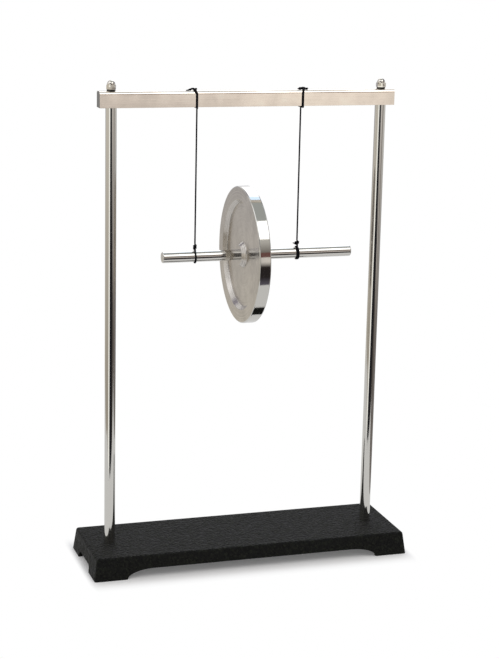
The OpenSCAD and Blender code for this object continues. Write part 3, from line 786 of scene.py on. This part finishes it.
class MAXWELL_OT_hanging_threads(bpy.types.Operator):
    """Hang the two threads between the crossbar and the axle"""

    bl_idname = "maxwell.hanging_threads"
    bl_label = "Hanging threads"

    def execute(self, context):
        thread, finish = context.scene.maxwell_thread, context.scene.maxwell_finish
        material = cotton_thread(finish)
        for side in SIDES:
            x, node = thread_x(side), side + "_thread"
            knot_top, bar_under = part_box(side + "_axle_tie")[1].z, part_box("crossbar")[0].z
            top = Vector((x, 0, bar_under - thread.diameter / 2))
            foot = Vector((x, 0, knot_top - thread.diameter / 4))
            bm, path = twisted_thread([top, top.lerp(foot, 0.5), foot], thread, thread.diameter)
            piece = to_piece(bm, side + "_hanging_thread", "suspension", [node], "black_thread", material)
            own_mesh(piece)
        return {"FINISHED"}


class MAXWELL_OT_ties(bpy.types.Operator):
    """Tie the threads round the crossbar and round the axle"""

    bl_idname = "maxwell.ties"
    bl_label = "Ties"

    def execute(self, context):
        thread, finish = context.scene.maxwell_thread, context.scene.maxwell_finish
        material = bpy.data.materials.get("cotton_thread") or cotton_thread(finish)
        for side in SIDES:
            # The left tie's first end is inside its knot
            frayed = (0.4 * thread.fray * (side == "right"), thread.fray)
            route = bar_tie_route(side, thread, finish.bar_round)
            bm, _ = twisted_thread(route, thread, thread.slack_diameter, frayed)
            to_piece(bm, side + "_bar_knot", "stand", [side + "_bar_tie"], "black_thread", material)
            bm, _ = twisted_thread(axle_tie_route(side, thread), thread, thread.diameter, (0, frayed[0]))
            to_piece(bm, side + "_axle_knot", "wheel_set", [side + "_axle_tie"], "black_thread", material)
        return {"FINISHED"}


class MAXWELL_OT_base(bpy.types.Operator):
    """Paint the cast base and soften its edges"""

    bl_idname = "maxwell.base"
    bl_label = "Base"

    def execute(self, context):
        finish = context.scene.maxwell_finish
        bm = merged_copy("base", weld=0.05 * MM)
        worn = bm.faces.layers.float.new("worn")
        for face in break_edges(bm, finish.cast_edge, segments=3):
            face[worn] = 1
        to_piece(bm, "base_casting", "stand", ["base"], "base_paint", wrinkle_enamel(finish))
        return {"FINISHED"}


class MAXWELL_OT_posts(bpy.types.Operator):
    """Turn the two polished posts"""

    bl_idname = "maxwell.posts"
    bl_label = "Posts"

    def execute(self, context):
        finish = context.scene.maxwell_finish
        material = polished_steel("polished_post", finish.rod, Z)
        foot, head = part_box("base")[1].z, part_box("crossbar")[0].z
        # Radii of the M6 stud through the base and of the M5 stud through the crossbar
        foot_stud, head_stud = 3.0 * MM, 2.5 * MM
        for side in SIDES:
            low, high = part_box(side + "_post")
            radius = (high.x - low.x) / 2
            profile = [(0, low.z), (foot_stud, low.z), (foot_stud, foot), (radius, foot), (radius, head),
                       (head_stud, head), (head_stud, high.z), (0, high.z)]
            bm = turned(profile, Vector(((low.x + high.x) / 2, 0, 0)), Z)
            break_edges(bm, finish.machined_edge)
            to_piece(bm, side + "_post_rod", "stand", [side + "_post"], "polished_rod", material)
        return {"FINISHED"}


class MAXWELL_OT_crossbar(bpy.types.Operator):
    """Brush the crossbar and break its edges"""

    bl_idname = "maxwell.crossbar"
    bl_label = "Crossbar"

    def execute(self, context):
        finish = context.scene.maxwell_finish
        bm = merged_copy("crossbar", weld=0.01 * MM)
        # The arcs along the top edges grow from the radius that the CAD gives them to a worn one
        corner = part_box("crossbar")[1]
        narrow, wide, slack = 2 * MM, finish.bar_round, 0.01 * MM
        for vert in bm.verts:
            across, up = abs(vert.co.y) - corner.y + narrow, vert.co.z - corner.z + narrow
            if min(across, up) > -slack:
                vert.co.y = math.copysign(corner.y - wide + across * wide / narrow, vert.co.y)
                vert.co.z = corner.z - wide + up * wide / narrow
        break_edges(bm, 3 * finish.machined_edge, segments=1)
        bm.normal_update()
        # The ends are sawn; the broken lower edges share their darker finish as painted shade; the rest is
        # brushed
        for face in bm.faces:
            face.material_index = int(abs(face.normal.x) > 0.9 or -0.95 < face.normal.z < -0.3)
        to_piece(bm, "crossbar_bar", "stand", ["crossbar"], "brushed_bar", brushed_steel(finish),
                 sawn_steel_and_edge_shade(finish))
        return {"FINISHED"}


class MAXWELL_OT_fasteners(bpy.types.Operator):
    """Plate the cap nuts, the lock washers and the nuts and washers under the base"""

    bl_idname = "maxwell.fasteners"
    bl_label = "Fasteners"

    def execute(self, context):
        finish = context.scene.maxwell_finish
        nickel = plated_steel("nickel_plate", finish.nickel, smooth=0.03, dull=0.09, spot_mm=3)
        spring = plated_steel("oiled_spring_steel", finish.spring_steel, smooth=0.3, dull=0.5, spot_mm=2)
        zinc = plated_steel("zinc_plate", finish.zinc, smooth=0.25, dull=0.45, spot_mm=4)
        for side in SIDES:
            bm = merged_copy(side + "_cap_nut", weld=0.005 * MM)
            low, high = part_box(side + "_cap_nut")
            bmesh.ops.rotate(bm, verts=bm.verts, cent=(low + high) / 2,
                             matrix=Matrix.Rotation(NUT_TURNS[side], 3, "Z"))
            to_piece(bm, side + "_dome_nut", "stand", [side + "_cap_nut"], "bright_nut", nickel)
            for name, material in (("_lock_washer", spring), ("_base_washer", zinc), ("_base_nut", zinc)):
                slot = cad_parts[side + name].material_slots[0]
                slot.link = "OBJECT"
                slot.material = material
        return {"FINISHED"}


class MAXWELL_OT_axle(bpy.types.Operator):
    """Turn the polished axle"""

    bl_idname = "maxwell.axle"
    bl_label = "Axle"

    def execute(self, context):
        finish, wheel = context.scene.maxwell_finish, context.scene.maxwell_wheel
        low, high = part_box("axle")
        radius, r = (high.z - low.z) / 2, wheel.axle_end
        profile = [(0, low.x)] + quarter(radius - r, low.x + r, r, -90)
        profile += quarter(radius - r, high.x - r, r, 0) + [(0, high.x)]
        bm = turned(profile, Vector((0, 0, (low.z + high.z) / 2)), X)
        to_piece(bm, "axle_rod", "wheel_set", ["axle"], "polished_rod",
                 polished_steel("polished_axle", finish.rod, X))
        return {"FINISHED"}


class MAXWELL_OT_wheel(bpy.types.Operator):
    """Turn the wheel with its rim, web and hub"""

    bl_idname = "maxwell.wheel"
    bl_label = "Wheel"

    def execute(self, context):
        finish, wheel = context.scene.maxwell_finish, context.scene.maxwell_wheel
        low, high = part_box("wheel")
        axle_low, axle_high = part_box("axle")
        centre, play = (low + high) / 2, 0.02 * MM
        outer, half = (high.z - low.z) / 2, (high.x - low.x) / 2
        bore, hub, web = (axle_high.z - axle_low.z) / 2 + play, wheel.hub / 2, wheel.web / 2
        inner, foot, edge = outer - wheel.rim_width, web + wheel.slope_foot, wheel.rim_edge
        near = [(bore, half), (hub - wheel.hub_slope, half), (hub, foot), (hub, web)]
        near += [(inner, web), (inner, foot), (inner + wheel.rim_slope, half)]
        near += list(reversed(quarter(outer - edge, half - edge, edge, 0)))
        far = [(radius, -along) for radius, along in reversed(near)]
        bm = turned(near + far + near[:1], centre, X)
        break_edges(bm, finish.machined_edge)
        bm.normal_update()
        # How far a face leans from flat, for a duller finish on the sides
        wall = bm.faces.layers.float.new("wall")
        for face in bm.faces:
            middle = face.calc_center_median() - centre
            reach = math.hypot(middle.y, middle.z)
            face.material_index = int(reach > outer - edge)
            face[wall] = 1 - abs(face.normal.x)
        to_piece(bm, "wheel_disc", "wheel_set", ["wheel"], "turned_wheel", turned_steel(finish, centre),
                 polished_steel("polished_rim", finish.rim, Y))
        return {"FINISHED"}


class MAXWELL_PT_panel(bpy.types.Panel):
    """Sizes, colours and pieces of the Maxwell wheel"""

    bl_idname = "MAXWELL_PT_panel"
    bl_label = "Maxwell Wheel"
    bl_space_type = "VIEW_3D"
    bl_region_type = "UI"
    bl_category = "Maxwell"

    def draw(self, context):
        for operator in OPERATORS:
            self.layout.operator(operator.bl_idname)
        for name in SETTINGS:
            settings = getattr(context.scene, name)
            box = self.layout.box()
            for prop in settings.bl_rna.properties:
                if prop.identifier not in ("rna_type", "name"):
                    box.prop(settings, prop.identifier)


SETTINGS = {"maxwell_finish": FinishSettings, "maxwell_wheel": WheelSettings,
            "maxwell_thread": ThreadSettings, "maxwell_stage": StageSettings}
OPERATORS = (MAXWELL_OT_stage, MAXWELL_OT_hanging_threads, MAXWELL_OT_ties, MAXWELL_OT_base,
             MAXWELL_OT_posts, MAXWELL_OT_crossbar, MAXWELL_OT_fasteners, MAXWELL_OT_axle, MAXWELL_OT_wheel)


def register():
    """Adds the settings, the operators and the panel."""
    for group in (*SETTINGS.values(), *OPERATORS, MAXWELL_PT_panel):
        bpy.utils.register_class(group)
    for name, group in SETTINGS.items():
        setattr(bpy.types.Scene, name, PointerProperty(type=group))


def unregister():
    """Takes them away again."""
    for name in SETTINGS:
        delattr(bpy.types.Scene, name)
    for group in reversed((*SETTINGS.values(), *OPERATORS, MAXWELL_PT_panel)):
        bpy.utils.unregister_class(group)


def main():
    """Builds the whole scene."""
    register()
    bpy.ops.maxwell.stage()
    bpy.ops.maxwell.hanging_threads()
    bpy.ops.maxwell.ties()
    bpy.ops.maxwell.base()
    bpy.ops.maxwell.posts()
    bpy.ops.maxwell.crossbar()
    bpy.ops.maxwell.fasteners()
    bpy.ops.maxwell.axle()
    bpy.ops.maxwell.wheel()


if __name__ == "__main__":
    main()
